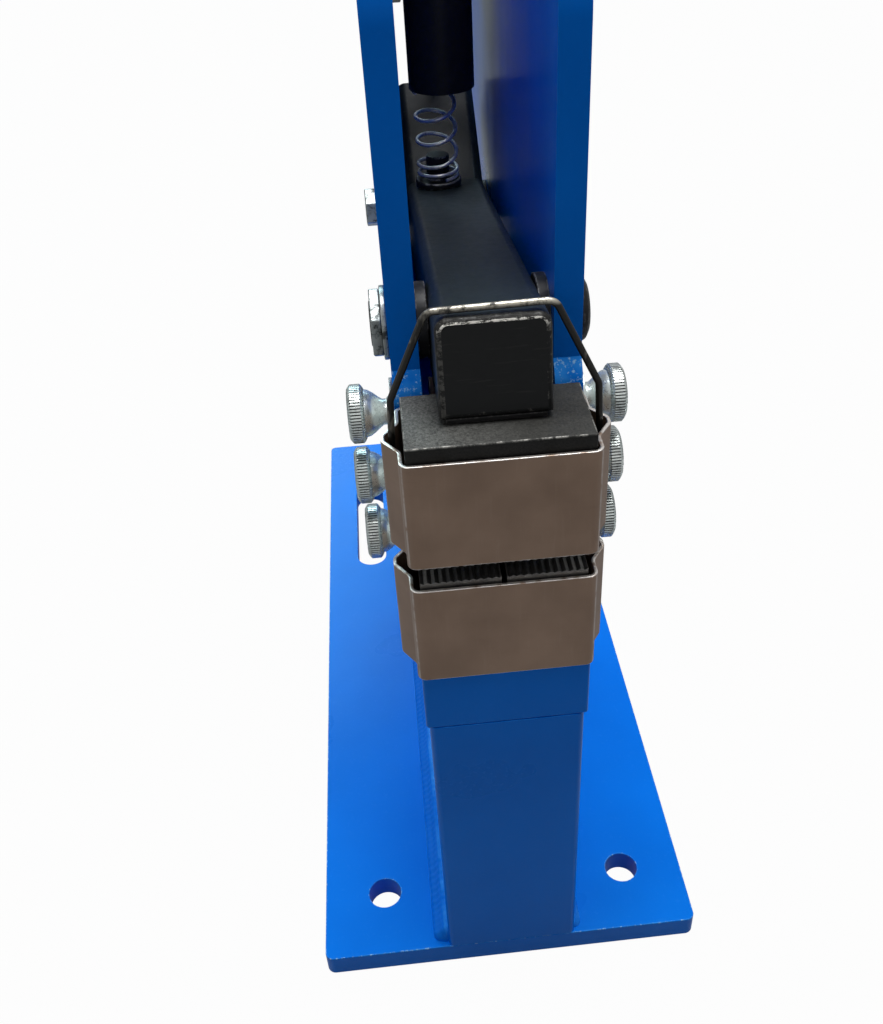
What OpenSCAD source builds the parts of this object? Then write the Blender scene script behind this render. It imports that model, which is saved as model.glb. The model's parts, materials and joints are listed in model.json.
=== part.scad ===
// Bench shrinker stretcher: sheet-metal jaws under a hand-lever rocker.
// X runs across the machine, Y runs back from the base's front edge, Z is up from the base's underside.

/* [Base] */
// base plate width across X
base_w = 136; // [100:1:180]
// base plate length along Y
base_l = 333; // [260:1:400]
// base plate thickness
base_t = 9.5; // [6:0.5:16]
// corner radius of the base plate
base_r = 3; // [1:0.5:10]
// distance between the left and right hole centres
hole_pitch = 91; // [70:1:120]
// front hole diameter
hole_d = 12; // [8:0.5:16]
// front hole distance from the front edge
hole_front = 24.5; // [15:0.5:40]
// rear slot width
slot_w = 15; // [9:0.5:20]
// rear slot front centre, from the front edge
slot_y0 = 226; // [200:1:250]
// rear slot rear centre, from the front edge
slot_y1 = 281; // [255:1:300]

/* [Post] */
// post width across X
post_w = 46; // [36:1:60]
// post length along Y
post_l = 200; // [150:1:240]
// post height above the base
post_h = 119; // [80:1:160]
// wall of the post's tube
post_wall = 5; // [3:0.5:8]
// leg of the left weld bead along the post
weld_leg = 5.5; // [3:0.5:8]
// leg of the right weld bead along the post
weld_leg_right = 3; // [2:0.5:8]
// distance of the weld beads' ends from the post's ends
weld_end = 2; // [0.5:0.5:10]
// fullness of the beads, as a share of the leg
weld_full = 0.38; // [0.3:0.01:0.6]
// jaw seat width
seat_w = 48; // [40:1:60]
// jaw seat height
seat_h = 21.4; // [12:0.1:30]

/* [Side plates] */
// outer width over both side plates
frame_w = 49.6; // [44:0.1:60]
// thickness of each side plate
plate_t = 7.45; // [5:0.05:10]
// front edge of the plates beside the jaws
throat_y = 27.6; // [24:0.1:40]
// front edge of the plates above the jaws
plate_y = 31.5; // [28:0.1:45]
// height of the ledge where the front edge steps back, above the seat
ledge_z = 73; // [60:0.5:90]
// rise of the ledge
ledge_rise = 8; // [4:0.5:14]
// reach of the plates behind the post
rear_over = 40; // [20:1:60]
// rise of the plates' top edge above the handle pivot
plate_rise = 36; // [26:1:60]
// radius of the plates' top corners
plate_r = 30; // [10:1:40]
// height where the rear edge turns in towards the post
heel_z = 225; // [200:1:260]

/* [Rocker] */
// rocker pivot distance from the front edge
pivot_y = 44; // [40:0.5:60]
// rocker pivot height
pivot_z = 238.5; // [220:0.5:250]
// pivot bolt diameter
pivot_d = 12; // [8:0.5:16]
// rocker width
arm_w = 28; // [24:0.5:34]
// rocker thickness
arm_h = 25.5; // [20:0.5:32]
// rocker slope at rest, down towards the rear, degrees
arm_tilt = 8.5; // [4:0.5:14]
// rocker reach forward of its pivot
arm_front = 33; // [25:0.5:45]
// distance of the kink behind the pivot
kink_back = 122.7; // [100:0.1:140]
// lean of the rear arm above the level, degrees
rear_lean = 37.9; // [20:0.1:60]
// length of the rear arm's front face
rear_len = 41.8; // [30:0.1:60]
// thickness of the rear arm
rear_t = 20; // [14:0.5:28]
// height of the bore above the rocker's middle
bore_up = 2.1; // [0:0.1:4]

/* [Handle] */
// handle pivot distance from the front edge
hand_y = 158; // [140:0.5:180]
// height of the spring seat above the rocker's top
seat_rise = 3.25; // [2:0.05:8]
// space for the spring between its seat and the bar's foot
spring_space = 30.5; // [24:0.1:36]
// handle bar diameter
bar_d = 22; // [18:0.5:28]
// length of the handle bar's foot below its pivot
foot_len = 40; // [30:0.5:50]
// length of the handle bar above its pivot
bar_up = 380; // [250:5:500]
// crank pin distance behind the handle pivot
crank_y = 28; // [20:0.5:36]
// crank pin distance below the handle pivot
crank_z = 10; // [0:0.5:16]
// crank pin diameter
crank_d = 8; // [6:0.5:12]
// thickness of each crank cheek
cheek_t = 5; // [3:0.5:8]
// grip diameter
grip_d = 30; // [26:0.5:38]
// grip length
grip_l = 130; // [90:5:160]
// thickness of the lift plate
lift_t = 10; // [6:0.5:12]
// travel of the crank pin in the lift plate's slot
slot_run = 9.6; // [8:0.1:14]

/* [Jaws] */
// jaw casing width
case_w = 50; // [44:0.5:60]
// jaw casing depth
case_l = 28; // [24:0.5:34]
// jaw casing front face
case_y = -0.8; // [-3:0.1:3]
// casing sheet thickness
case_t = 1; // [0.8:0.1:2]
// upper casing underside height
up_z0 = 190.7; // [186:0.1:200]
// upper casing height
up_h = 32.1; // [28:0.1:40]
// lower casing height
low_h = 33; // [28:0.1:40]
// pressure block rise above the upper casing
cap_rise = 4; // [2:0.1:8]
// tooth reach past the casing
tooth_out = 1.7; // [1:0.1:3]
// tooth pitch
tooth_pitch = 2; // [1:0.5:4]
// tooth depth
tooth_deep = 0.6; // [0.3:0.1:1]
// gap between the two jaw halves at rest
half_gap = 1.5; // [0.5:0.1:4]
// height of the pressure block's side face
cap_side = 13.8; // [8:0.1:18]
// slope of the pressure block's wedge, degrees
wedge_deg = 30.6; // [15:0.1:45]
// reach of the casing's side bulge
bulge_out = 3.9; // [2:0.1:6]
// middle of the bulge along Y
bulge_y = 13; // [8:0.5:20]
// wire diameter of the bail
wire_d = 1.8; // [1.5:0.1:4]

/* [Thumb screws] */
// screw distance from the front edge
thumb_y = 36; // [32:0.5:44]
// height of the top screws
thumb_z = 216.2; // [205:0.1:225]
// spacing of the screws
thumb_step = 20.2; // [15:0.1:25]
// screw thread diameter
thumb_d = 5; // [4:0.5:8]
// knurled rim diameter
rim_d = 16; // [12:0.5:24]
// knurled rim thickness
rim_t = 3.5; // [3:0.1:6]
// count of knurl ridges
knurl_n = 40; // [24:1:60]

/* [Spring] */
// spring wire diameter
spring_wire = 1.3; // [0.8:0.1:2.5]
// spring mean radius
spring_r = 6.7; // [4:0.1:10]
// spring curls
spring_n = 4.75; // [3:0.25:10]
// curls wound close at the spring's lower end
spring_shut = 1.5; // [0:0.25:3]
// pitch of the close curls
shut_pitch = 2; // [1.8:0.1:3]
// offset of the spring and its seat across X
spring_x = -2.7; // [-3:0.1:3]

/* [Fits] */
// radial running clearance of pins in bores
run_gap = 0.05; // [0.02:0.01:0.1]
// side clearance between sliding faces
side_gap = 0.2; // [0.05:0.05:0.5]
// clearance of the pressure blocks inside their casings
block_gap = 0.6; // [0.4:0.05:1]
// room for the jaw halves to part inside their casings
half_run = 1.1; // [0.5:0.05:2]
// clearance under the rocker's nose over the pressure block
nose_relief = 0.5; // [0.3:0.05:1]
// clearance of the crank pin in its slot
slot_gap = 0.25; // [0.15:0.05:0.5]

/* [Hidden] */
seat_z = base_t + post_h;
jaw_z = seat_z + seat_h;
half_frame = frame_w / 2;
inner = half_frame - plate_t;
half_arm = arm_w / 2;
top_u = arm_h / 2 - bore_up;
bot_u = -arm_h / 2 - bore_up;
// the spring seat stands on the rocker's sloping top, below the handle's foot
seat_top = pivot_z + top_u * cos(arm_tilt) - (hand_y - pivot_y - top_u * sin(arm_tilt)) * tan(arm_tilt)
    + seat_rise;
hand_z = seat_top + spring_space + foot_len;
plate_top = hand_z + plate_rise;
plate_rear = post_l + rear_over;
tie_y = plate_rear - 25;
tie_z = plate_top - 19;
cheek_x = bar_d / 2;
cheek_r = 11;
crank_boss_r = 9;
up_top = up_z0 + up_h;
cap_top = up_top + cap_rise;
low_top = jaw_z + low_h;
case_in = case_w / 2 - case_t;
case_back = case_y + case_l;
cap_half = case_in - block_gap;
block_y0 = case_y + case_t + block_gap;
block_l = case_l - 2 * case_t - 2 * block_gap;
wedge_tan = tan(wedge_deg);
case_r = 2.5;
spring_y = hand_y;
foot_z = hand_z - foot_len;
head_h = 5;
nut_h = 5;
jam_af = 17;
jam_h = 2.7;
tip_out = 0.3;
big_washer_r = 9.7;
big_washer_t = 1.4;
button_r = 9;
button_h = 3.2;
small_d = 8;
small_af = 13;
stop_r = 7.3;
stop_along = 23.8;
stop_gap = 0.05;
hex_n = 6;
stud_r = 4;
stud_h = 8;
stem_l = 8.5;
// the lowest pair of thumb screws is turned further in
low_set = 1.1;
collar_r = 4.4;
knurl_deep = 0.35;
ear_t = 1.5;
ear_out = 15;
ear_back = 46;
up_ear_z0 = 194;
up_ear_h = 26;
low_ear_z0 = jaw_z + 2;
low_ear_h = 30;
washer_t = 1;
washer_r = 9;
spacer_r = 10;
tie_r = 7;
seat_disc_r = 8;
seat_disc_h = 8;
leg_deep = 16;
knee_rise = 10.7;
bar_rise = 28.5;
leg_lean = 1.3;
bar_over_left = 1.7;
bar_over_right = 0.8;
bar_back = 2.1;
bar_skew = 0.3;
bend_r = 3.5;
cap_disc_d = 11;
cap_disc_h = 0.6;
neck_r = 3.6;
hub_r = 7.2;
pad_r = 40;
pad_w = 25;
pad_y = 15;
pad_front = 11;
pad_back = 24;
pad_deep = 4.2;
relief_over = 4;
pad_gap = 0.05;
web_t = 8;
web_h = 45;
wire_r = wire_d / 2;

// ---- shared shapes ----

// rectangle with true round corners, centred on X, starting at y = 0
module round_rect(w, l, r) {
    translate([-w / 2 + r, 0]) square([w - 2 * r, l]);
    translate([-w / 2, r]) square([w, l - 2 * r]);
    for (x = [-w / 2 + r, w / 2 - r]) {
        for (y = [r, l - r]) {
            translate([x, y]) circle(r = r, $fn = 48);
        }
    }
}

// slot outline between two centres along Y
module slot_shape(y0, y1, d) {
    translate([0, y0]) circle(d = d, $fn = 48);
    translate([0, y1]) circle(d = d, $fn = 48);
    translate([-d / 2, y0]) square([d, y1 - y0]);
}

// extrudes a Y-Z outline along X from x0 for a thickness
module along_x(x0, t) {
    translate([x0, 0, 0]) rotate([90, 0, 90]) linear_extrude(height = t) children();
}

// extrudes an X-Z outline along Y from y0 for a length
module along_y(y0, l) {
    translate([0, y0 + l, 0]) rotate([90, 0, 0]) linear_extrude(height = l) children();
}

// round bar or bore along X
module bar_x(x0, x1, y, z, r) {
    translate([x0, y, z]) rotate([0, 90, 0]) cylinder(r = r, h = x1 - x0, $fn = 64);
}

// hexagon head along X
module hex_x(x0, x1, y, z, af) {
    translate([x0, y, z]) rotate([0, 90, 0]) cylinder(d = af / cos(30), h = x1 - x0, $fn = hex_n);
}

// ring along X
module ring_x(x0, x1, y, z, ro, ri) {
    difference() {
        bar_x(x0, x1, y, z, ro);
        bar_x(x0 - 1, x1 + 1, y, z, ri);
    }
}

// ---- frame ----

module base_plate() color([0.02, 0.3, 0.72]) {
    difference() {
        linear_extrude(height = base_t) round_rect(base_w, base_l, base_r);
        for (s = [-1, 1]) {
            translate([s * hole_pitch / 2, hole_front, -1]) cylinder(d = hole_d, h = base_t + 2, $fn = 64);
            translate([s * hole_pitch / 2, 0, -1]) linear_extrude(height = base_t + 2)
                slot_shape(slot_y0, slot_y1, slot_w);
        }
    }
}

module post_tube() color([0.02, 0.3, 0.72]) {
    translate([0, 0, base_t]) difference() {
        linear_extrude(height = post_h) round_rect(post_w, post_l, 2);
        translate([0, post_wall, -1]) linear_extrude(height = post_h + 2)
            round_rect(post_w - 2 * post_wall, post_l - 2 * post_wall, 1);
    }
}

module weld_bead(s, leg) {
    translate([0, weld_end, 0]) rotate([90, 0, 0]) mirror([0, 0, 1])
        linear_extrude(height = post_l - 2 * weld_end)
        polygon([[s * post_w / 2, base_t], [s * (post_w / 2 + leg), base_t],
            [s * (post_w / 2 + leg * weld_full), base_t + leg * weld_full], [s * post_w / 2, base_t + leg]]);
}

module weld_beads() color([0.02, 0.3, 0.72]) {
    weld_bead(-1, weld_leg);
    weld_bead(1, weld_leg_right);
}

module jaw_seat() color([0.02, 0.3, 0.72]) {
    translate([0, 0, seat_z]) linear_extrude(height = seat_h) round_rect(seat_w, post_l, 1);
}

// the bit that rounding takes off an outer corner, centre c, towards the front (-1) or rear (1)
module corner_cut(c, side) {
    difference() {
        translate([c[0] + (side < 0 ? -plate_r - 1 : 0), c[1]]) square([plate_r + 1, plate_r + 1]);
        translate(c) circle(r = plate_r, $fn = 96);
    }
}

module plate_shape() {
    zl = jaw_z + ledge_z;
    difference() {
        polygon([[throat_y, jaw_z], [throat_y, zl], [throat_y + 0.5, zl + ledge_rise * 0.3],
            [throat_y + 1.6, zl + ledge_rise * 0.6], [plate_y, zl + ledge_rise], [plate_y, plate_top],
            [plate_rear, plate_top], [plate_rear, heel_z],
            [post_l, heel_z - (plate_rear - post_l)], [post_l, jaw_z]]);
        corner_cut([plate_y + plate_r, plate_top - plate_r], -1);
        corner_cut([plate_rear - plate_r, plate_top - plate_r], 1);
    }
}

module side_plate(x0) {
    difference() {
        along_x(x0, plate_t) plate_shape();
        bar_x(x0 - 1, x0 + plate_t + 1, pivot_y, pivot_z, pivot_d / 2);
        bar_x(x0 - 1, x0 + plate_t + 1, hand_y, hand_z, pivot_d / 2);
        bar_x(x0 - 1, x0 + plate_t + 1, stop_y, stop_z, small_d / 2);
        bar_x(x0 - 1, x0 + plate_t + 1, tie_y, tie_z, small_d / 2);
        for (i = [0:2]) {
            bar_x(x0 - 1, x0 + plate_t + 1, thumb_y, thumb_z - i * thumb_step, thumb_d / 2);
        }
    }
}

module side_plate_left() color([0.02, 0.3, 0.72]) side_plate(-half_frame);
module side_plate_right() color([0.02, 0.3, 0.72]) side_plate(inner);

module rear_web() color([0.02, 0.3, 0.72]) {
    translate([-inner, post_l - web_t, jaw_z]) cube([2 * inner, web_t, web_h]);
}

// bolt with its head on the left and a nut of its own on the right
module through_bolt(y, z, d, af, tip) {
    bar_x(-half_frame, half_frame + tip, y, z, d / 2);
    hex_x(-half_frame - head_h, -half_frame, y, z, af);
}

module hex_nut(y, z, d, af, h) {
    difference() {
        hex_x(half_frame, half_frame + h, y, z, af);
        bar_x(half_frame - 1, half_frame + h + 1, y, z, d / 2);
    }
}

module tie_bolt() color([0.75, 0.76, 0.74]) {
    through_bolt(tie_y, tie_z, small_d, small_af, nut_h);
    hex_nut(tie_y, tie_z, small_d, small_af, nut_h);
}
module tie_sleeve() color([0.05, 0.05, 0.05]) ring_x(-inner, inner, tie_y, tie_z, tie_r, small_d / 2);

// round head on the right, shank to the left with room for washer and nut
module button_bolt(y, z) {
    bar_x(-half_frame - big_washer_t - jam_h - tip_out, half_frame, y, z, pivot_d / 2);
    translate([half_frame, y, z]) rotate([0, 90, 0]) rotate_extrude($fn = 96) polygon([[0, 0],
        [button_r, 0], [button_r, 0.4 * button_h], [0.93 * button_r, 0.75 * button_h],
        [0.75 * button_r, button_h], [0, button_h]]);
}
module jam_nut(y, z) {
    x = -half_frame - big_washer_t;
    difference() {
        hex_x(x - jam_h, x, y, z, jam_af);
        bar_x(x - jam_h - 1, x + 1, y, z, pivot_d / 2);
    }
}
module big_washer(y, z) ring_x(-half_frame - big_washer_t, -half_frame, y, z, big_washer_r, pivot_d / 2);

module pivot_bolt() color([0.2, 0.2, 0.2]) button_bolt(pivot_y, pivot_z);
module pivot_nut() color([0.75, 0.76, 0.74]) jam_nut(pivot_y, pivot_z);
module pivot_washer() color([0.75, 0.76, 0.74]) big_washer(pivot_y, pivot_z);
module pivot_spacers() color([0.2, 0.2, 0.2]) {
    ring_x(-inner, -half_arm - side_gap, pivot_y, pivot_z, spacer_r, pivot_d / 2);
    ring_x(half_arm + side_gap, inner, pivot_y, pivot_z, spacer_r, pivot_d / 2);
}

module stop_bolt() color([0.75, 0.76, 0.74]) {
    through_bolt(stop_y, stop_z, small_d, small_af, nut_h);
    hex_nut(stop_y, stop_z, small_d, small_af, nut_h);
}
module stop_sleeve() color([0.05, 0.05, 0.05]) ring_x(-inner, inner, stop_y, stop_z, stop_r, small_d / 2);

module handle_bolt() color([0.2, 0.2, 0.2]) button_bolt(hand_y, hand_z);
module handle_nut() color([0.75, 0.76, 0.74]) jam_nut(hand_y, hand_z);
module handle_bolt_washer() color([0.75, 0.76, 0.74]) big_washer(hand_y, hand_z);
module handle_washers() color([0.7, 0.7, 0.7]) {
    x = cheek_x + cheek_t + side_gap;
    ring_x(-inner, -x, hand_y, hand_z, spacer_r, pivot_d / 2);
    ring_x(x, inner, hand_y, hand_z, spacer_r, pivot_d / 2);
}

// knurled thumb screw pointing along -X from a plate's outer face at x = 0, tip at -tip
module thumb_screw(tip, stem) {
    rotate([0, 90, 0]) {
        translate([0, 0, -tip]) cylinder(d = thumb_d, h = tip + washer_t + 1, $fn = 48);
        rotate_extrude($fn = 64) polygon([[0, washer_t], [neck_r, washer_t],
            [neck_r, 0.4 * stem], [collar_r, 0.53 * stem], [hub_r, stem], [0, stem]]);
        translate([0, 0, stem]) linear_extrude(height = rim_t) polygon([for (i = [0:2 * knurl_n - 1])
            let (r = rim_d / 2 - (i % 2) * knurl_deep, a = i * 180 / knurl_n) [r * cos(a), r * sin(a)]]);
        translate([0, 0, stem + rim_t]) cylinder(d1 = cap_disc_d, d2 = cap_disc_d - 1,
            h = cap_disc_h, $fn = 48);
    }
}

module thumb_screws(s) {
    for (i = [0:2]) {
        tip = half_frame - ear_out - (i < 2 ? side_gap : 0);
        translate([s * half_frame, thumb_y, thumb_z - i * thumb_step]) mirror([s < 0 ? 1 : 0, 0, 0])
            thumb_screw(tip, stem_l - (i < 2 ? 0 : low_set));
    }
}

module thumb_screws_left() color([0.62, 0.7, 0.7]) thumb_screws(-1);
module thumb_screws_right() color([0.62, 0.7, 0.7]) thumb_screws(1);
module thumb_washers() color([0.6, 0.62, 0.62]) {
    for (i = [0:2]) {
        ring_x(half_frame, half_frame + washer_t, thumb_y, thumb_z - i * thumb_step, washer_r, thumb_d / 2);
        ring_x(-half_frame - washer_t, -half_frame, thumb_y, thumb_z - i * thumb_step, washer_r,
            thumb_d / 2);
    }
}

// ---- jaws ----

// right half of the casing outline, with its wire bulge, set in by d
function case_side(d) = let (h = case_w / 2 - d, y0 = case_y + d, y1 = case_back - d, r = case_r - d,
    b = bulge_out - 0.1 * d)
    [[h - r, y0], [h - 0.5 * r, y0 + 0.13 * r], [h - 0.13 * r, y0 + 0.5 * r], [h, y0 + r],
    [h, bulge_y - 7 + d / 2], [h + b - 0.8, bulge_y - 2.6 + d / 4], [h + b, bulge_y - 1.4],
    [h + b, bulge_y + 1.4], [h + b - 0.8, bulge_y + 2.6 - d / 4], [h, bulge_y + 6.5 - d / 2],
    [h, y1 - r], [h - 0.13 * r, y1 - 0.5 * r], [h - 0.5 * r, y1 - 0.13 * r], [h - r, y1]];
function flip_x(v) = [for (i = [len(v) - 1 : -1 : 0]) [-v[i][0], v[i][1]]];
module case_outline(d) {
    polygon(concat(case_side(d), flip_x(case_side(d))));
}

module jaw_casing(z, h) {
    translate([0, 0, z]) linear_extrude(height = h) difference() {
        case_outline(0);
        case_outline(case_t);
    }
}

// pressure block: flat pad with a wedge towards the teeth, in X-Z, pad face at z = 0, wedge down
wedge_deep = cap_half * wedge_tan;
module block_shape() {
    polygon([[-cap_half, 0], [cap_half, 0], [cap_half, -cap_side], [0, -cap_side - wedge_deep],
        [-cap_half, -cap_side]]);
}

// jaw half on the right: follows the wedge with a gap, teeth at z = -total
half_out = case_in - block_gap - half_run;
function tooth_row(total) = [for (i = [0 : floor((half_out - half_gap / 2) / tooth_pitch * 2)])
    [half_out - i * tooth_pitch / 2, -total + (i % 2) * tooth_deep]];
module half_shape(total) {
    g = side_gap / cos(wedge_deg);
    x0 = half_gap / 2;
    top0 = -cap_side - wedge_deep - g + x0 * wedge_tan;
    top1 = -cap_side - wedge_deep - g + half_out * wedge_tan;
    polygon(concat([[x0, -total], [x0, top0], [half_out, top1]], tooth_row(total)));
}

up_total = cap_rise + up_h + tooth_out;
low_total = low_h + tooth_out;

module upper_jaw_casing() color([0.4, 0.33, 0.29]) jaw_casing(up_z0, up_h);
module upper_pressure_block() color([0.1, 0.1, 0.1]) {
    translate([0, 0, cap_top]) along_y(block_y0, block_l) block_shape();
}
module upper_jaw_right() color([0.12, 0.12, 0.12]) {
    translate([0, 0, cap_top]) along_y(block_y0, block_l) half_shape(up_total);
}
module upper_jaw_left() color([0.12, 0.12, 0.12]) {
    mirror([1, 0, 0]) translate([0, 0, cap_top]) along_y(block_y0, block_l) half_shape(up_total);
}
module lower_jaw_casing() color([0.4, 0.33, 0.29]) jaw_casing(jaw_z, low_h);
module lower_pressure_block() color([0.1, 0.1, 0.1]) {
    translate([0, 0, jaw_z]) along_y(block_y0, block_l) mirror([0, 1, 0]) block_shape();
}
module lower_jaw_right() color([0.12, 0.12, 0.12]) {
    translate([0, 0, jaw_z]) along_y(block_y0, block_l) mirror([0, 1, 0]) half_shape(low_total);
}
module lower_jaw_left() color([0.12, 0.12, 0.12]) {
    mirror([1, 0, 0]) translate([0, 0, jaw_z]) along_y(block_y0, block_l) mirror([0, 1, 0])
        half_shape(low_total);
}

// channel behind a casing, held between the thumb screw tips
module jaw_bracket(z, h) {
    translate([-ear_out, case_back, z]) cube([2 * ear_out, ear_t, h]);
    for (x = [-ear_out, ear_out - ear_t]) {
        translate([x, case_back, z]) cube([ear_t, ear_back - case_back, h]);
    }
}
module upper_jaw_bracket() color([0.4, 0.33, 0.29]) jaw_bracket(up_ear_z0, up_ear_h);
module lower_jaw_bracket() color([0.4, 0.33, 0.29]) jaw_bracket(low_ear_z0, low_ear_h);

leg_x = case_in + bulge_out - 0.1 * case_t - wire_r;
leg_y = bulge_y;
leg_z0 = up_top - leg_deep;
// the legs lean in from the casing's bulge up to their knees
knee_x = leg_x - leg_lean;
knee_z = up_top + knee_rise;
bar_z = cap_top + bar_rise;
bar_left = -half_arm - bar_over_left;
bar_right = half_arm + bar_over_right;
bar_y2 = bulge_y + bar_back;
// rounds the corner q of a path between p and n with a few points
function bend_pts(p, q, n) = let (u = unit(p - q), v = unit(n - q), a = acos(u * v),
    cut = bend_r / tan(a / 2)) [for (t = [0 : 0.2 : 1]) q + (1 - t) * (1 - t) * cut * u + t * t * cut * v];
wire_pts = [[-leg_x, leg_y, leg_z0], [-knee_x, leg_y, knee_z], [bar_left, bar_y2, bar_z - bar_skew],
    [bar_right, bar_y2, bar_z + bar_skew], [knee_x, leg_y, knee_z], [leg_x, leg_y, leg_z0]];
wire_path = concat([wire_pts[0]], bend_pts(wire_pts[0], wire_pts[1], wire_pts[2]),
    bend_pts(wire_pts[1], wire_pts[2], wire_pts[3]), bend_pts(wire_pts[2], wire_pts[3], wire_pts[4]),
    bend_pts(wire_pts[3], wire_pts[4], wire_pts[5]), [wire_pts[5]]);
wire_sides = 12;
wire_n = len(wire_path);
function wire_dir(i) = i == 0 ? [0, 0, 1] : i == wire_n - 1 ? [0, 0, -1]
    : unit(unit(wire_path[i + 1] - wire_path[i]) + unit(wire_path[i] - wire_path[i - 1]));
function wire_ring(i) = let (t = wire_dir(i), o = unit([0, 1, 0] - t[1] * t), b = cross(t, o))
    [for (k = [0 : wire_sides - 1]) let (a = 360 * k / wire_sides)
    wire_path[i] + wire_r * (cos(a) * o + sin(a) * b)];
module bail_wire() color([0.06, 0.06, 0.06]) {
    polyhedron(points = [for (i = [0 : wire_n - 1]) each wire_ring(i)],
        faces = tube_faces(wire_n, wire_sides), convexity = 6);
}

// ---- rocker ----

// turns rocker coordinates (along, up from the pivot) into machine Y and Z
function rk(a, u) = [pivot_y + a * cos(arm_tilt) + u * sin(arm_tilt),
    pivot_z - a * sin(arm_tilt) + u * cos(arm_tilt)];
kink = rk(kink_back, top_u);
rear_tip = kink + rear_len * [cos(rear_lean), sin(rear_lean)];
rear_heel = rear_tip + rear_t * [sin(rear_lean), -cos(rear_lean)];
// where the rear arm's underside meets the rocker's underside
under0 = rk(0, bot_u);
bend = rear_lean + arm_tilt;
heel_run = ((rear_heel[0] - under0[0]) * sin(arm_tilt) + (rear_heel[1] - under0[1]) * cos(arm_tilt))
    / sin(bend);
rear_foot = rear_heel - heel_run * [cos(rear_lean), sin(rear_lean)];
// the stop lies under the rear arm
stop_pt = rear_foot + stop_along * [cos(rear_lean), sin(rear_lean)]
    + (stop_r + stop_gap) * [sin(rear_lean), -cos(rear_lean)];
stop_y = stop_pt[0];
stop_z = stop_pt[1];

module rocker_shape() {
    polygon([rk(-arm_front, bot_u), rk(-arm_front, top_u), kink, rear_tip, rear_heel, rear_foot]);
}

module rocker_arm() color([0.08, 0.09, 0.1]) {
    difference() {
        along_x(-half_arm, arm_w) rocker_shape();
        bar_x(-half_arm - 1, half_arm + 1, pivot_y, pivot_z, pivot_d / 2 + run_gap);
        pad_cut();
        translate([-half_arm - 1, 0, cap_top - arm_h]) cube([arm_w + 2, case_back + relief_over,
            arm_h + nose_relief]);
    }
}

// level pocket under the nose that holds the pressure foot
pad_top = cap_top + pad_deep;
module pad_cut() {
    translate([-pad_w / 2, pad_front, cap_top - arm_h]) cube([pad_w, pad_back - pad_front, pad_deep + arm_h]);
}

module pressure_foot() color([0.05, 0.05, 0.05]) {
    intersection() {
        bar_x(-pad_w / 2, pad_w / 2, pad_y, cap_top + pad_r + pad_gap, pad_r);
        translate([-pad_w / 2, pad_front, cap_top - 1]) cube([pad_w, pad_back - pad_front,
            pad_top - cap_top + 1]);
    }
}

crank_pt = [hand_y + crank_y, hand_z - crank_z];
slot_end = crank_pt + [slot_run, 0];
lift_r = 8.2;
lift_waist = rear_tip + [13.5, 5];
// points on an arc about c
function arc(c, r, a0, a1, n) = [for (i = [0 : n]) let (a = a0 + (a1 - a0) * i / n)
    c + r * [cos(a), sin(a)]];
module lift_shape() {
    m = (rear_tip + rear_heel) / 2;
    d = rear_t / 2 - 2;
    front = m + d * [-sin(rear_lean), cos(rear_lean)];
    back = m + d * [sin(rear_lean), -cos(rear_lean)];
    sunk = 8 * [cos(rear_lean), sin(rear_lean)];
    polygon(concat([front - sunk, front, lift_waist + [-7.6, 2.4], slot_end + [-4, -lift_r]],
        arc(crank_pt, lift_r, -90, -270, 12), arc(slot_end, lift_r, 90, 0, 8),
        [slot_end + [lift_r + 0.6, -8], lift_waist + [7.8, -1.6], back, back - sunk]));
}

module lift_plate() color([0.1, 0.1, 0.11]) {
    difference() {
        along_x(-lift_t / 2, lift_t) lift_shape();
        along_x(-lift_t / 2 - 1, lift_t + 2) rocker_shape();
        along_x(-lift_t / 2 - 1, lift_t + 2) pin_slot(crank_d / 2 + slot_gap);
    }
}
module pin_slot(r) {
    translate(crank_pt) circle(r = r, $fn = 48);
    translate(slot_end) circle(r = r, $fn = 48);
    translate(crank_pt - [0, r]) square([slot_run, 2 * r]);
}

module spring_seat() color([0.12, 0.12, 0.12]) {
    difference() {
        union() {
            translate([spring_x, spring_y, seat_top - seat_disc_h])
                cylinder(r = seat_disc_r, h = seat_disc_h, $fn = 64);
            translate([spring_x, spring_y, seat_top]) cylinder(r = stud_r, h = stud_h, $fn = 48);
        }
        along_x(-half_arm, arm_w) rocker_shape();
    }
}

// spring tube: straight ends square to the seat, then a helix
spring_z0 = seat_top;
spring_z1 = foot_z - side_gap;
spring_lead = spring_wire;
spring_turn0 = 290;
shut_rise = spring_shut * shut_pitch;
open_pitch = (spring_z1 - spring_z0 - 2 * spring_lead - shut_rise) / (spring_n - spring_shut);
// height above the lower end after c curls
function spring_rise(c) = c < spring_shut ? c * shut_pitch : shut_rise + (c - spring_shut) * open_pitch;
function spring_pt(i) = let (c = i / 8, a = spring_turn0 + 360 * c)
    [spring_x + spring_r * cos(a), spring_y + spring_r * sin(a), spring_z0 + spring_lead + spring_rise(c)];
spring_a = spring_pt(0);
spring_b = spring_pt(spring_n * 8);
spring_path = concat([[spring_a[0], spring_a[1], spring_z0]], [for (i = [0 : spring_n * 8]) spring_pt(i)],
    [[spring_b[0], spring_b[1], spring_z1]]);
function unit(v) = v / norm(v);
function spring_dir(i) = i == 0 || i == len(spring_path) - 1 ? [0, 0, 1]
    : unit(spring_path[i + 1] - spring_path[i - 1]);
function spring_out(i) = let (p = spring_path[i]) unit([p[0] - spring_x, p[1] - spring_y, 0]);
function spring_ring(i) = let (t = spring_dir(i), o0 = spring_out(i), o = unit(o0 - (o0 * t) * t),
    b = cross(t, o)) [for (k = [0:5]) spring_path[i] + spring_wire / 2 * (cos(60 * k) * o + sin(60 * k) * b)];
rings = len(spring_path);
spring_pts = [for (i = [0 : rings - 1]) each spring_ring(i)];
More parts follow.
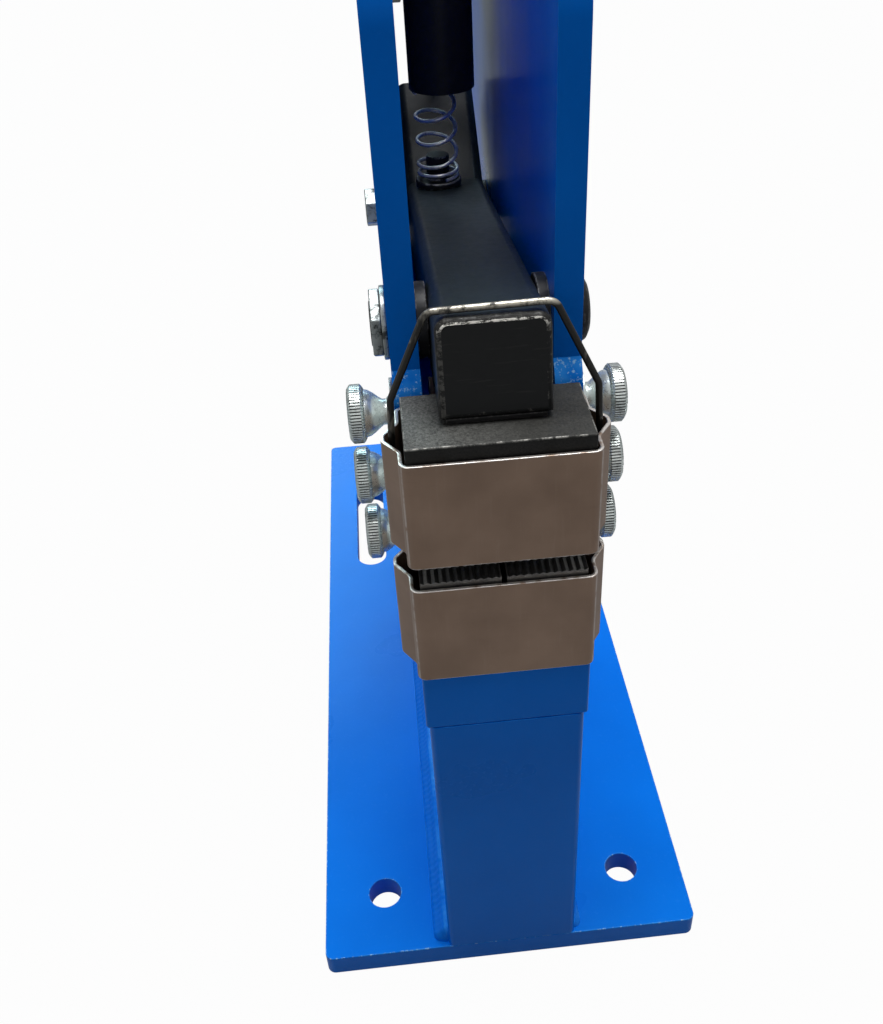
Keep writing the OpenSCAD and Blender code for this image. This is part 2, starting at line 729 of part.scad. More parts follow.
// faces of a tube of n rings with m points each, closed at both ends
function tube_faces(n, m) = concat([[for (k = [m - 1 : -1 : 0]) k]],
    [for (i = [0 : n - 2]) for (k = [0 : m - 1]) [i * m + k, i * m + (k + 1) % m,
        (i + 1) * m + (k + 1) % m, (i + 1) * m + k]],
    [[for (k = [0 : m - 1]) (n - 1) * m + k]]);
// least gap between points at least half a curl apart on the path
spring_gap = min([for (i = [0 : rings - 6]) for (j = [i + 5 : rings - 1])
    norm(spring_path[i] - spring_path[j])]) - spring_wire;
echo(spring_least_gap_mm = spring_gap);

module return_spring() color([0.75, 0.76, 0.76]) {
    polyhedron(points = spring_pts, faces = tube_faces(rings, 6), convexity = 10);
}

// ---- handle ----

module handle_bar() color([0.03, 0.03, 0.03]) {
    difference() {
        translate([0, hand_y, foot_z]) cylinder(d = bar_d, h = foot_len + bar_up, $fn = 96);
        bar_x(-bar_d, bar_d, hand_y, hand_z, pivot_d / 2 + run_gap);
    }
}

// outline of a link between two bosses, with straight sides tangent to both
function link_pts(a, b, ra, rb) = let (d = b - a, ang = atan2(d[1], d[0]), q = acos((ra - rb) / norm(d)))
    concat(arc(a, ra, ang + q, ang + 360 - q, 20), arc(b, rb, ang - q, ang + q, 16));
module cheek_shape() {
    difference() {
        polygon(link_pts([hand_y, hand_z], crank_pt, cheek_r, crank_boss_r));
        translate([hand_y, hand_z]) circle(r = pivot_d / 2 + run_gap, $fn = 64);
        translate(crank_pt) circle(d = crank_d, $fn = 48);
    }
}

module crank_cheeks() color([0.06, 0.06, 0.06]) {
    along_x(-cheek_x - cheek_t, cheek_t) cheek_shape();
    along_x(cheek_x, cheek_t) cheek_shape();
}

module crank_pin() color([0.7, 0.7, 0.7]) {
    bar_x(-cheek_x - cheek_t, cheek_x + cheek_t, crank_pt[0], crank_pt[1], crank_d / 2);
}

module handle_grip() color([0.04, 0.04, 0.04]) {
    top = hand_z + bar_up;
    translate([0, hand_y, top - grip_l]) rotate_extrude($fn = 96) polygon([[bar_d / 2, 0],
        [grip_d / 2 - 1.5, 0], [grip_d / 2, 1.5], [grip_d / 2, grip_l - 1], [grip_d / 2 - 2, grip_l + 2.5],
        [grip_d / 2 - 6, grip_l + 4], [0, grip_l + 4], [0, grip_l], [bar_d / 2, grip_l]]);
}

base_plate();
post_tube();
weld_beads();
jaw_seat();
side_plate_left();
side_plate_right();
rear_web();
tie_bolt();
tie_sleeve();
pivot_bolt();
pivot_nut();
pivot_washer();
pivot_spacers();
stop_bolt();
stop_sleeve();
handle_bolt();
handle_nut();
handle_bolt_washer();
handle_washers();
thumb_screws_left();
thumb_screws_right();
thumb_washers();
lower_jaw_casing();
lower_pressure_block();
lower_jaw_bracket();
rocker_arm();
pressure_foot();
lift_plate();
spring_seat();
return_spring();
handle_bar();
crank_cheeks();
crank_pin();
handle_grip();
upper_jaw_casing();
upper_pressure_block();
upper_jaw_bracket();
bail_wire();
upper_jaw_left();
upper_jaw_right();
lower_jaw_left();
lower_jaw_right();
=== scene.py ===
# %% [markdown]
# # A bench shrinker stretcher, dressed for its photograph
# The machine squeezes sheet metal between two toothed jaws. A hand lever turns a rocker, and the rocker's
# nose presses the upper jaw down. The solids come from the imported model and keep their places. This script
# adds what a solid lacks: rounded edges, folded sheet, wire, knurling, weld ripples, paint and wear.

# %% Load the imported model
import bpy
import bmesh
import json
from math import radians, degrees, sin, cos, tan, pi, sqrt, atan2
from mathutils import Vector, Matrix


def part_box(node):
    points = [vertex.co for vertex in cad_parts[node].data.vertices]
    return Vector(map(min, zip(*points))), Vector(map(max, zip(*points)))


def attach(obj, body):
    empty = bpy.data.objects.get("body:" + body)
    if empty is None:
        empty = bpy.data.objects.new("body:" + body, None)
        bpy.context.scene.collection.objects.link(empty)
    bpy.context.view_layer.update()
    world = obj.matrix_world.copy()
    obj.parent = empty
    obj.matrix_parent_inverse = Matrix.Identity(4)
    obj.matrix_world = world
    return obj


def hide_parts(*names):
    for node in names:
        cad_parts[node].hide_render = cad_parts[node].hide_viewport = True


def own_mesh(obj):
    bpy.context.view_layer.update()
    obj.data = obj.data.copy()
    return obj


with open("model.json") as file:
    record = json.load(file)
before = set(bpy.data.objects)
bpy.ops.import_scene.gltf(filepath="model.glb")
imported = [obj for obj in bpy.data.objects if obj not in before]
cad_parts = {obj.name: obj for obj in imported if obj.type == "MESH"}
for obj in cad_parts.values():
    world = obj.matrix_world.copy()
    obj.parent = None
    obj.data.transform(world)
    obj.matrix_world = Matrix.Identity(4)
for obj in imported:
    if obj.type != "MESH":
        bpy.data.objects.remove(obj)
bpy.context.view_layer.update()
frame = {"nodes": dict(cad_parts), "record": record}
MM = 0.001

# %% [markdown]
# ## The camera
# The photograph was taken close, from above the front edge and a little to the left. Place, turn and lens
# were found from straight edges of the machine, so each edge of the model can fall on the same edge of the
# picture. The three turned axes below are the camera's right, up and back.

# %% Camera
camera_data = bpy.data.cameras.new("camera")
camera_data.lens = 36.33
camera_data.sensor_width = 36.0
camera_data.shift_x = -0.0243
camera_data.shift_y = -0.0039
camera_data.clip_start = 0.01
camera = bpy.data.objects.new("camera", camera_data)
bpy.context.scene.collection.objects.link(camera)
right = Vector((0.99456, -0.09707, -0.03776))
ahead = Vector((0.05429, 0.79255, -0.60738)).normalized()
right = (right - ahead * right.dot(ahead)).normalized()
up = right.cross(ahead)
turn = Matrix((right, up, -ahead)).transposed()
camera.matrix_world = Matrix.Translation(Vector((-23.1, -202.35, 363.8)) * MM) @ turn.to_4x4()
bpy.context.scene.camera = camera
print("camera looks down by", round(degrees(atan2(-ahead.z, ahead.y)), 1), "degrees")

# %% [markdown]
# ## Sums inside a material
# A material is a net of nodes. Writing it link by link is long, so one small class stands for a value in
# the net and lets Python's own signs build the Math nodes: `grain * 0.8` adds one node. A second class
# keeps the net itself and has one method for every other kind of node.

# %% Value and Finish
class Value:
    """One socket of a finish, usable in sums."""

    def __init__(self, finish, socket):
        self.finish = finish
        self.socket = socket

    def sum(self, operation, a, b):
        return self.finish.add("Math", {"operation": operation}, i0=a, i1=b)

    def __add__(self, other): return self.sum("ADD", self, other)
    def __radd__(self, other): return self.sum("ADD", other, self)
    def __sub__(self, other): return self.sum("SUBTRACT", self, other)
    def __mul__(self, other): return self.sum("MULTIPLY", self, other)
    def __gt__(self, other): return self.sum("GREATER_THAN", self, other)


class Finish:
    """A material whose net is written as sums."""

    def __init__(self, name, **constants):
        self.material = bpy.data.materials.new(name)
        self.material.use_nodes = True
        self.tree = self.material.node_tree
        self.shader = self.tree.nodes["Principled BSDF"]
        self.place = self.add("TexCoord", out="Object")
        self.set(**constants)

    def add(self, kind, settings=None, out=0, **values):
        node = self.tree.nodes.new("ShaderNode" + kind)
        for name, value in (settings or {}).items():
            setattr(node, name, value)
        for name, value in values.items():
            key = int(name[1:]) if name[0] == "i" and name[1:].isdigit() else name.replace("_", " ")
            self.join(value, node.inputs[key])
        return Value(self, node.outputs[out])

    def join(self, value, socket):
        if isinstance(value, Value):
            self.tree.links.new(value.socket, socket)
        else:
            socket.default_value = value

    def set(self, **values):
        for name, value in values.items():
            if name in ("Base_Color", "Specular_Tint") and not isinstance(value, Value):
                value = (*value, 1)
            self.join(value, self.shader.inputs[name.replace("_", " ")])
        return self

    def noise(self, scale, detail=2.0, rough=0.5, stretch=None):
        where = self.place
        if stretch:
            where = self.add("Mapping", i0=self.place, i3=stretch)
        return self.add("TexNoise", out="Fac", Vector=where, Scale=scale, Detail=detail, Roughness=rough)

    def edge(self):
        return self.add("Attribute", {"attribute_name": "edge"}, out="Fac")

    def axis(self, letter):
        parts = self.add("SeparateXYZ", i0=self.place)
        return Value(self, parts.socket.node.outputs[letter])

    def mix(self, factor, a, b):
        a, b = [shade if isinstance(shade, Value) else (*shade, 1) for shade in (a, b)]
        return self.add("Mix", {"data_type": "RGBA"}, out=2, i0=factor, i6=a, i7=b)

    def between(self, value, low, high):
        """0 at `low` and 1 at `high`, which may lie either way round."""
        return self.add("MapRange", i0=value, i1=low, i2=high)

    def larger(self, a, b):
        return self.add("Math", {"operation": "MAXIMUM"}, i0=a, i1=b)

    def bump(self, height, depth, strength=0.5, under=None):
        values = {"Strength": strength, "Distance": depth, "Height": height}
        if under is not None:
            values["Normal"] = under
        return self.add("Bump", **values)


print("finish helpers ready")

# %% [markdown]
# ## Blue paint
# The frame is sprayed in a glossy blue. Real spray paint is never one even colour: it is slightly cloudy,
# and it has a fine orange-peel skin that breaks up reflections. Its edges are painted lighter, a painted
# highlight broken up by noise. Noise in several sizes gives the clouds, the peel, the dust and the slow runs
# down a plate. Pale flecks, painted glints, show only where the `edge` attribute is full: the base's rim and
# the ledges.

# %% Blue paint
def blue_paint():
    f = Finish("blue_paint", Metallic=0.0, Coat_Roughness=0.15, IOR=1.45, Specular_IOR_Level=0.26,
               Specular_Tint=(0.10, 0.66, 1.0))
    clouds = f.between(f.noise(14.0, 3.0), 0.35, 0.65)
    dust = f.between(f.noise(700.0, 2.0), 0.6, 0.75)
    colour = f.mix(clouds, (0.0, 0.156, 0.72), (0.0, 0.186, 0.82))
    colour = f.mix(dust * 0.12, colour, (0.03, 0.26, 0.90))
    # The edges are painted lighter, a painted highlight broken up by noise; where the edge value is full,
    # pale flecks are painted glints.
    painted_edge_light = f.edge() * f.between(f.noise(160.0, 2.0), 0.35, 0.7)
    colour = f.mix(painted_edge_light * 0.6, colour, (0.05, 0.36, 0.95))
    painted_glints = (f.edge() > 0.9) * f.between(f.noise(800.0, 3.0, 0.7), 0.55, 0.64)
    colour = f.mix(painted_glints * 0.6, colour, (0.50, 0.82, 1.0))
    peel = f.noise(420.0, 1.0)
    runs = f.noise(45.0, 1.0, 0.5, (1, 1, 0.07))
    f.set(Base_Color=colour, Roughness=0.27 + clouds * 0.06 + dust * 0.05, Coat_Weight=0.05)
    f.set(Normal=f.bump(peel, 0.00006, 0.35, f.bump(runs, 0.0006, 0.4)))
    return f.material


paint = blue_paint()
print(paint.name, len(paint.node_tree.nodes), "nodes")

# %% [markdown]
# ## Black and dark steels
# The lever, the bolts' button heads, the spacers and the lift plate are blackened steel. One function
# makes them all, because they differ only in how rough, how speckled and how worn they are.

# %% Dark steels
def dark_steel(name, dark, light, rough, speckle, worn, streaks=True):
    f = Finish(name, IOR=1.45, Specular_IOR_Level=0.3)
    grain = f.between(f.noise(speckle, 3.0, 0.7), 0.4, 0.68)
    patches = f.between(f.noise(45.0, 3.0), 0.35, 0.7)
    colour = f.mix(grain * 0.8 + patches * 0.2, dark, light)
    if streaks:
        lines = f.between(f.noise(1.0, 3.0, 0.6, (60.0, 60.0, 900.0)), 0.62, 0.72)
        colour = f.mix(lines * 0.35, colour, tuple(min(1.0, v * 3 + 0.01) for v in light))
    chips = f.between(f.noise(520.0, 3.0, 0.7), 0.5 - worn * 0.12, 0.62)
    bright_mark = f.edge() * chips * worn
    colour = f.mix(bright_mark, colour, (0.55, 0.54, 0.52))
    f.set(Base_Color=colour, Metallic=bright_mark * 0.9 + 0.05, Roughness=rough + grain * 0.12 - bright_mark * 0.1)
    f.set(Normal=f.bump(grain, 0.00004, 0.5, f.bump(patches, 0.0003, 0.2)))
    return f.material


black_bar = dark_steel("black_bar", (0.011, 0.012, 0.014), (0.022, 0.026, 0.030), 0.40, 300.0, 0.35)
black_lever = dark_steel("black_lever", (0.009, 0.009, 0.010), (0.015, 0.015, 0.016), 0.38, 350.0, 0.1, False)
black_nut = dark_steel("black_nut", (0.014, 0.014, 0.015), (0.03, 0.03, 0.032), 0.35, 500.0, 0.5, False)
print("dark steels:", black_bar.name, black_lever.name, black_nut.name)


# %% [markdown]
# The rocker is a hot-rolled bar in satin black, and its sawn front face is painted near black as painted
# shade, with faint streaks over it. Its nose is rubbed bright along the upper front edge, in broken patches.
# The bevelled faces carry an `edge` value that says where they lie: 1 on the crest, 0.6 on the rest of the
# nose's rim and 0.25 elsewhere. Heights and depths in the masks are places on the machine, in millimetres.

# %% Worn nose
def rocker_finish():
    f = Finish("rocker_black", IOR=1.45, Specular_IOR_Level=0.35)
    grain = f.between(f.noise(300.0, 3.0, 0.7), 0.4, 0.68)
    patches = f.between(f.noise(30.0, 3.0), 0.35, 0.7)
    colour = f.mix(grain * 0.3 + patches * 0.7, (0.012, 0.018, 0.021), (0.022, 0.032, 0.038))
    # The front face is painted near black as painted shade, with faint streaks over it.
    front = f.between(f.axis("Y"), 16.5 * MM, 14.0 * MM)
    colour = f.mix(front * 0.9, colour, (0.004, 0.004, 0.004))
    lines = f.between(f.noise(1.0, 3.0, 0.6, (70.0, 70.0, 1100.0)), 0.60, 0.72) * front
    colour = f.mix(lines * 0.12, colour, (0.10, 0.095, 0.09))
    high = f.between(f.axis("Z"), 249.5 * MM, 252.0 * MM)
    side = f.between(f.axis("X"), -11.2 * MM, -12.8 * MM) * 0.25
    near = f.between(f.axis("Y"), 24.0 * MM, 16.0 * MM)
    band = f.edge() * near * f.larger(high, side)
    colour = f.mix(band * 0.7, colour, (0.040, 0.038, 0.034))
    crest = f.between(f.edge(), 0.75, 0.95) * near * f.larger(high, side * 0.5)
    chips = f.between(f.noise(1.0, 4.0, 0.75, (330.0, 800.0, 800.0)), 0.44, 0.54)
    pits = f.between(f.noise(900.0, 4.0, 0.75), 0.60, 0.68)
    faint = f.edge() * f.between(f.noise(520.0, 3.0, 0.7), 0.55, 0.68) * 0.15
    wear = f.larger(f.larger(crest * chips, band * pits * 0.5), faint)
    colour = f.mix(wear, colour, (0.80, 0.78, 0.72))
    f.set(Base_Color=colour, Metallic=wear * 0.9 + 0.02, Roughness=0.38 + grain * 0.08 - wear * 0.08)
    skin = f.bump(grain, 0.00004, 0.45, f.bump(patches, 0.0003, 0.25))
    f.set(Normal=f.bump(chips * band, 0.0002, 0.7, skin))
    return f.material


worn_rocker = rocker_finish()
print(worn_rocker.name, "ready")

# %% [markdown]
# The pressure blocks have a dull phosphate skin with a fine, sandy speckle. The top of the pad that the foot
# rubs on is grey, partly wear and partly painted light from above, and lighter still towards its left as a
# painted sheen, while the sides stay almost black. The height of the point decides between the two.

# %% Phosphate
def phosphate_finish():
    f = Finish("phosphate", IOR=1.45, Specular_IOR_Level=0.3)
    sand = f.between(f.noise(1700.0, 3.0, 0.75), 0.35, 0.72)
    patches = f.between(f.noise(60.0, 3.0), 0.35, 0.7)
    pad_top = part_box("upper_pressure_block")[1].z
    pad = f.between(f.axis("Z"), pad_top - 0.6 * MM, pad_top - 0.1 * MM)
    skin = f.mix(sand * 0.7 + patches * 0.3, (0.006, 0.006, 0.006), (0.022, 0.022, 0.021))
    # The grey top is lighter towards the left: a painted sheen.
    left = f.between(f.axis("X"), 6 * MM, -20 * MM)
    grey = f.mix(left, (0.075, 0.075, 0.069), (0.24, 0.245, 0.23))
    worn = f.mix(sand * 0.75 + patches * 0.25, (0.020, 0.020, 0.019), grey)
    # The top is painted lighter than the sides, partly wear and partly painted light from above.
    colour = f.mix(pad, skin, worn)
    bright_mark = f.edge() * f.between(f.noise(500.0, 3.0, 0.7), 0.46, 0.60) * pad
    colour = f.mix(bright_mark * 0.6, colour, (0.45, 0.44, 0.41))
    f.set(Base_Color=colour, Metallic=bright_mark * 0.6 + 0.05, Roughness=0.50 + sand * 0.15)
    f.set(Normal=f.bump(sand, 0.00005, 0.5, f.bump(patches, 0.0002, 0.2)))
    return f.material


phosphate = phosphate_finish()
print(phosphate.name, "ready")

# %% [markdown]
# ## Bright and satin metals
# Zinc plate is bright with a cool, cloudy tint and dark stains, more on the nuts and bolts than on the
# thumb screws. The jaw casings are folded from satin steel sheet painted a warm brown, a painted reflection
# of brown surroundings, with fine scratches along the sheet and a bright cut rim.

# %% Bright metals
def bright_metal(name, base, tint, rough, scratch=1.0, metal=0.95, spoiled=0.3):
    """Plated or plain steel: `metal` is its Metallic, `spoiled` the strength of its stains."""
    f = Finish(name, IOR=1.8, Metallic=metal)
    clouds = f.between(f.noise(90.0, 3.0), 0.35, 0.65)
    fine = f.noise(900.0, 3.0, 0.7)
    colour = f.mix(clouds * 0.7, base, tint)
    stain = f.between(f.noise(300.0, 4.0, 0.7), 0.53, 0.62)
    colour = f.mix(stain * spoiled, colour, tuple(v * 0.12 for v in base))
    # Faces marked by the `groove` attribute, the drawn-in columns of the knurl, are painted dark: a painted
    # shade.
    groove = f.add("Attribute", {"attribute_name": "groove"}, out="Fac")
    colour = f.mix(groove * 0.85, colour, (0.03, 0.035, 0.035))
    f.set(Base_Color=colour, Roughness=rough + fine * 0.14 * scratch + groove * 0.2)
    f.set(Normal=f.bump(stain, 0.00006, 0.5 * scratch, f.bump(fine, 0.00002, 0.4 * scratch)))
    return f.material


def casing_sheet():
    f = Finish("casing_sheet", IOR=1.6)
    brush = f.noise(1.0, 4.0, 0.7, (900.0, 900.0, 60.0))
    clouds = f.between(f.noise(55.0, 3.0), 0.35, 0.68)
    # The warm brown is a painted reflection of brown surroundings on the steel.
    colour = f.mix(clouds, (0.275, 0.182, 0.126), (0.355, 0.240, 0.170))
    colour = f.mix(f.between(brush, 0.55, 0.80) * 0.10, colour, (0.58, 0.46, 0.37))
    marks = f.between(f.noise(1.0, 3.0, 0.6, (70.0, 70.0, 900.0)), 0.60, 0.74)
    colour = f.mix(marks * 0.16, colour, (0.22, 0.15, 0.11))
    # The edge value brightens the cut rim, and faintly a painted highlight stripe on the front corners.
    cut_rim_and_highlight = f.edge()
    colour = f.mix(cut_rim_and_highlight * f.between(f.noise(300.0, 3.0), 0.3, 0.5), colour, (0.78, 0.74, 0.70))
    f.set(Base_Color=colour, Metallic=0.55 + cut_rim_and_highlight * 0.4, Roughness=0.38 + brush * 0.08 - cut_rim_and_highlight * 0.08)
    f.set(Normal=f.bump(brush, 0.00002, 0.15, f.bump(clouds, 0.0002, 0.15)))
    return f.material


zinc = bright_metal("zinc_plate", (0.78, 0.86, 0.84), (0.92, 0.95, 0.92), 0.22, metal=0.72, spoiled=0.35)
dull_zinc = bright_metal("dull_zinc", (0.26, 0.29, 0.29), (0.60, 0.64, 0.62), 0.25, metal=0.85, spoiled=0.9)
spring_metal = bright_metal("spring_metal", (0.80, 0.79, 0.76), (0.92, 0.91, 0.89), 0.25, 0.5, metal=0.5)
tooth_metal = bright_metal("tooth_metal", (0.16, 0.16, 0.155), (0.22, 0.21, 0.20), 0.40)
casing = casing_sheet()
print("bright metals:", zinc.name, dull_zinc.name, spring_metal.name, tooth_metal.name, casing.name)


# %% [markdown]
# The wire bail is blackened, with a few scuffs, and its top bar carries a broken pale stripe along its upper
# side, a painted highlight. The grip is moulded rubber with a fine, dull grain.

# %% Wire and rubber
def wire_finish():
    f = Finish("wire_black", IOR=1.5)
    grain = f.noise(600.0, 3.0, 0.7)
    # The upper side of the top bar gets a broken pale stripe: a painted highlight. The scuffs are real wear.
    top = f.between(f.axis("Z"), 254.6 * MM, 256.0 * MM)
    bright_mark = top * f.between(f.noise(420.0, 3.0, 0.7), 0.34, 0.52)
    scuffs = f.between(f.noise(1.0, 3.0, 0.6, (300.0, 300.0, 90.0)), 0.60, 0.70) * 0.3
    wear = f.larger(bright_mark, scuffs)
    colour = f.mix(wear, (0.013, 0.012, 0.010), (0.66, 0.62, 0.52))
    f.set(Base_Color=colour, Metallic=0.3 + wear * 0.65, Roughness=0.32 + grain * 0.12)
    f.set(Normal=f.bump(grain, 0.00002, 0.4))
    return f.material


def rubber_finish():
    f = Finish("grip_rubber", IOR=1.5)
    grain = f.noise(1400.0, 2.0, 0.7)
    haze = f.between(f.noise(40.0, 3.0), 0.4, 0.7)
    f.set(Base_Color=f.mix(haze, (0.012, 0.012, 0.013), (0.022, 0.022, 0.024)), Roughness=0.62 + grain * 0.2)
    f.set(Normal=f.bump(grain, 0.00006, 0.6))
    return f.material


wire_metal = wire_finish()
rubber = rubber_finish()
print("wire and rubber:", wire_metal.name, rubber.name)

# %% [markdown]
# ## From a solid to a piece with real edges
# A solid from the imported model has knife-sharp edges, and nothing real has those. The solid keeps its own
# shape and place, so a copy of its mesh is taken, its loose triangles are merged, the flat parts are
# joined, and every sharp edge is bevelled. The new narrow faces get an `edge` attribute from 0 to 1: the blue
# paint reads it as the strength of a painted edge highlight, and the metal finishes read it as how far they
# wear there.

# %% Softened copies
bodies = {node: body for body, nodes in frame["record"]["behaviour"]["bodies"].items() for node in nodes}
print("bodies:", sorted(set(bodies.values())))


def new_piece(name, bm, body, finish, stands_for=(), smooth=40):
    mesh = bpy.data.meshes.new(name)
    bm.to_mesh(mesh)
    bm.free()
    piece = bpy.data.objects.new(name, mesh)
    bpy.context.scene.collection.objects.link(piece)
    mesh.materials.append(finish)
    for face in mesh.polygons:
        face.use_smooth = True
    mesh.set_sharp_from_angle(angle=radians(smooth))
    flat = piece.modifiers.new("flat faces", "WEIGHTED_NORMAL")
    flat.keep_sharp = True
    flat.weight = 90
    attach(piece, body)
    if stands_for:
        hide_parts(*stands_for)
    return piece


def merged_copy(node):
    bm = bmesh.new()
    bm.from_mesh(frame["nodes"][node].data)
    bmesh.ops.remove_doubles(bm, verts=bm.verts, dist=2e-6)
    bmesh.ops.dissolve_limit(bm, angle_limit=radians(1.0), verts=bm.verts, edges=bm.edges)
    return bm


def edge_layer(bm):
    return bm.faces.layers.float.get("edge") or bm.faces.layers.float.new("edge")


def mark_edges(bm, made, value=1.0):
    layer = edge_layer(bm)
    for face in made:
        face[layer] = value


def bevel_sharp(bm, width, segments=2, angle=28, pick=None, value=1.0):
    edge_layer(bm)
    sharp = [e for e in bm.edges if len(e.link_faces) == 2 and e.calc_face_angle(0) > radians(angle)]
    if pick:
        sharp = [e for e in sharp if pick(e)]
    done = bmesh.ops.bevel(bm, geom=sharp, offset=width * MM, offset_type="OFFSET", affect="EDGES",
                           segments=segments, profile=0.5, material=-1, clamp_overlap=True)
    mark_edges(bm, done["faces"], value)
    return len(sharp)


def softened(node, width, finish, segments=2, value=1.0):
    """A copy of a solid with rounded edges, riding the solid's own body in its place."""
    bm = merged_copy(node)
    count = bevel_sharp(bm, width, segments, value=value)
    piece = new_piece(node + "_piece", bm, bodies[node], finish, [node])
    print(piece.name, "bevelled", count, "edges,", len(piece.data.polygons), "faces")
    return piece


# %% [markdown]
# ## The painted frame
# Base plate, post, jaw seat, side plates and web are cut from thick plate or tube, so each gets a small
# rounding of a millimetre or less under the paint. The roundings are painted lighter as a painted highlight;
# only the base's rim gets the full edge value, which adds pale flecks there as painted glints.

# %% Frame pieces
for node, width in (("base_plate", 0.9), ("post_tube", 0.9), ("jaw_seat", 0.8), ("side_plate_left", 0.9),
                    ("side_plate_right", 0.9), ("rear_web", 0.6)):
    softened(node, width, paint, value=1.0 if node == "base_plate" else 0.8)

# %% [markdown]
# Where the side plates' front edge steps back above the jaws, the ledge faces that look up and forward are
# marked as edge too, so the paint shows them lighter, with pale flecks, as a painted highlight.

# %% Ledges
LEDGE_BACK, LEDGE_TOP = 33 * MM, 260 * MM

for node in ("side_plate_left", "side_plate_right"):
    mesh = bpy.data.objects[node + "_piece"].data
    marks = mesh.attributes["edge"].data
    ledge = [f.index for f in mesh.polygons if f.normal.y < -0.2 and f.normal.z > 0.1
             and f.center.y < LEDGE_BACK and f.center.z < LEDGE_TOP]
    for index in ledge:
        marks[index].value = 1.0
    print(node, "ledge faces:", len(ledge))

# %% [markdown]
# ## Weld beads
# A weld bead is a row of small frozen ripples. A flat grid with many rows is bent into a quarter round and
# each row is pushed in and out by an uneven sine, slightly bowed, which is how the puddle freezes. Two more
# columns run back through the corner, so the bead is closed. The grid comes from an operator; only its
# points are moved. The left bead is the thick one, as in the photograph.

# %% Weld beads
POST_X, BASE_TOP, LEFT_LEG, RIGHT_LEG = 23.0, 9.5, 5.5, 3.0


def bead_reach(y, low, high, leg, across):
    """Distance of the bead's skin from the corner, for a point along and across it."""
    phase = 2 * pi * (y / 2.6 + 0.35 * sin(y * 0.057) + 0.2 * sin(y * 0.131))
    ripple = sin(phase + 2.2 * sin(pi * across)) * (0.10 + 0.09 * sin(y * 0.071) ** 2)
    swell = 0.22 * sin(y * 0.095) + 0.16 * sin(y * 0.231)
    body = leg * (0.78 + 0.22 * abs(cos(pi * across))) + (ripple + swell) * sin(pi * across) * leg / LEFT_LEG
    end = min(1.0, min(y - low, high - y) / 3.0)
    return body * (0.25 + 0.75 * sqrt(1 - (1 - end) ** 2))


def weld_bead(bm, side, leg, rows=300):
    """A tube whose skin is the bead and whose last column is the hidden corner."""
    low, high = [v.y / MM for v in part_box("weld_beads")]
    made = bmesh.ops.create_grid(bm, x_segments=8, y_segments=rows, size=0.5)["verts"]
    for v in made:
        column, y = v.co.x + 0.5, low + (v.co.y + 0.5) * (high - low)
        across = 0.0 if column > 0.99 else min(1.0, column / 0.75)
        reach = bead_reach(y, low, high, leg, across)
        if 0.8 < column < 0.95:
            v.co = (side * (POST_X - 0.3), y, BASE_TOP - 0.3)
        else:
            out, rise = reach * cos(across * pi / 2), reach * sin(across * pi / 2)
            v.co = (side * (POST_X - 0.1 + out), y, BASE_TOP - 0.1 + rise)
    bmesh.ops.remove_doubles(bm, verts=made, dist=1e-4)


bead_mesh = bmesh.new()
bead_marks = edge_layer(bead_mesh)
weld_bead(bead_mesh, -1, LEFT_LEG)
weld_bead(bead_mesh, 1, RIGHT_LEG)
bmesh.ops.holes_fill(bead_mesh, edges=[e for e in bead_mesh.edges if e.is_boundary], sides=0)
bmesh.ops.scale(bead_mesh, verts=bead_mesh.verts, vec=(MM, MM, MM))
bmesh.ops.recalc_face_normals(bead_mesh, faces=bead_mesh.faces)
# Faces of the right bead and the toes of the left bead get edge 0.85, so the paint shows them lighter: a
# painted highlight.
for face in bead_mesh.faces:
    middle = face.calc_center_median()
    if middle.x > -(POST_X + 1) * MM or middle.z < (BASE_TOP + 1) * MM:
        face[bead_marks] = 0.85
open_edges = sum(e.is_boundary for e in bead_mesh.edges)
beads = new_piece("weld_beads_piece", bead_mesh, "frame", paint, ["weld_beads"], 60)
print(beads.name, len(beads.data.polygons), "faces,", open_edges, "open edges")

# %% [markdown]
# ## Bolts, nuts and spacers
# The hexagons and nuts get a wide bevel, as if their corners were turned off, and the button heads, washers
# and sleeves a narrow one. The shanks run hidden inside the plates.

# %% Fasteners
FASTENERS = ((0.55, dull_zinc, ("tie_bolt", "stop_bolt")),
             (0.35, black_lever, ("pivot_bolt", "handle_bolt")),
             (0.7, dull_zinc, ("pivot_nut", "handle_nut")),
             (0.3, dull_zinc, ("pivot_washer", "handle_bolt_washer")),
             (0.4, black_nut, ("pivot_spacers",)),
             (0.3, zinc, ("handle_washers",)),
             (0.3, black_lever, ("tie_sleeve", "stop_sleeve")),
             (0.2, zinc, ("thumb_washers",)))
for width, finish, names in FASTENERS:
    for node in names:
        softened(node, width, finish)

# %% [markdown]
# ## Knurled thumb screws
# Six screws clamp the jaws between the side plates. The rim is knurled with straight ridges so fingers
# can grip it. A fine circle is raised in three steps, the outer two a little narrower, and every fifth of
# its columns is drawn in and painted dark, a painted shade. The end faces stand a little proud. The hub and
# neck are spun from a profile.

# %% Thumb screws
RIM_R, RIM_T, STEM, TIP, LOW_TIP, LOW_SET = 8.0, 3.5, 8.5, 9.6, 9.8, 1.1
RIDGES, COLUMNS, GROOVE, CHAMFER, FACE_R = 60, 5, 0.40, 0.45, 6.8
PLATE_X, SCREW_Y, SCREW_Z, SCREW_STEP = 24.8, 36.0, 216.2, 20.2


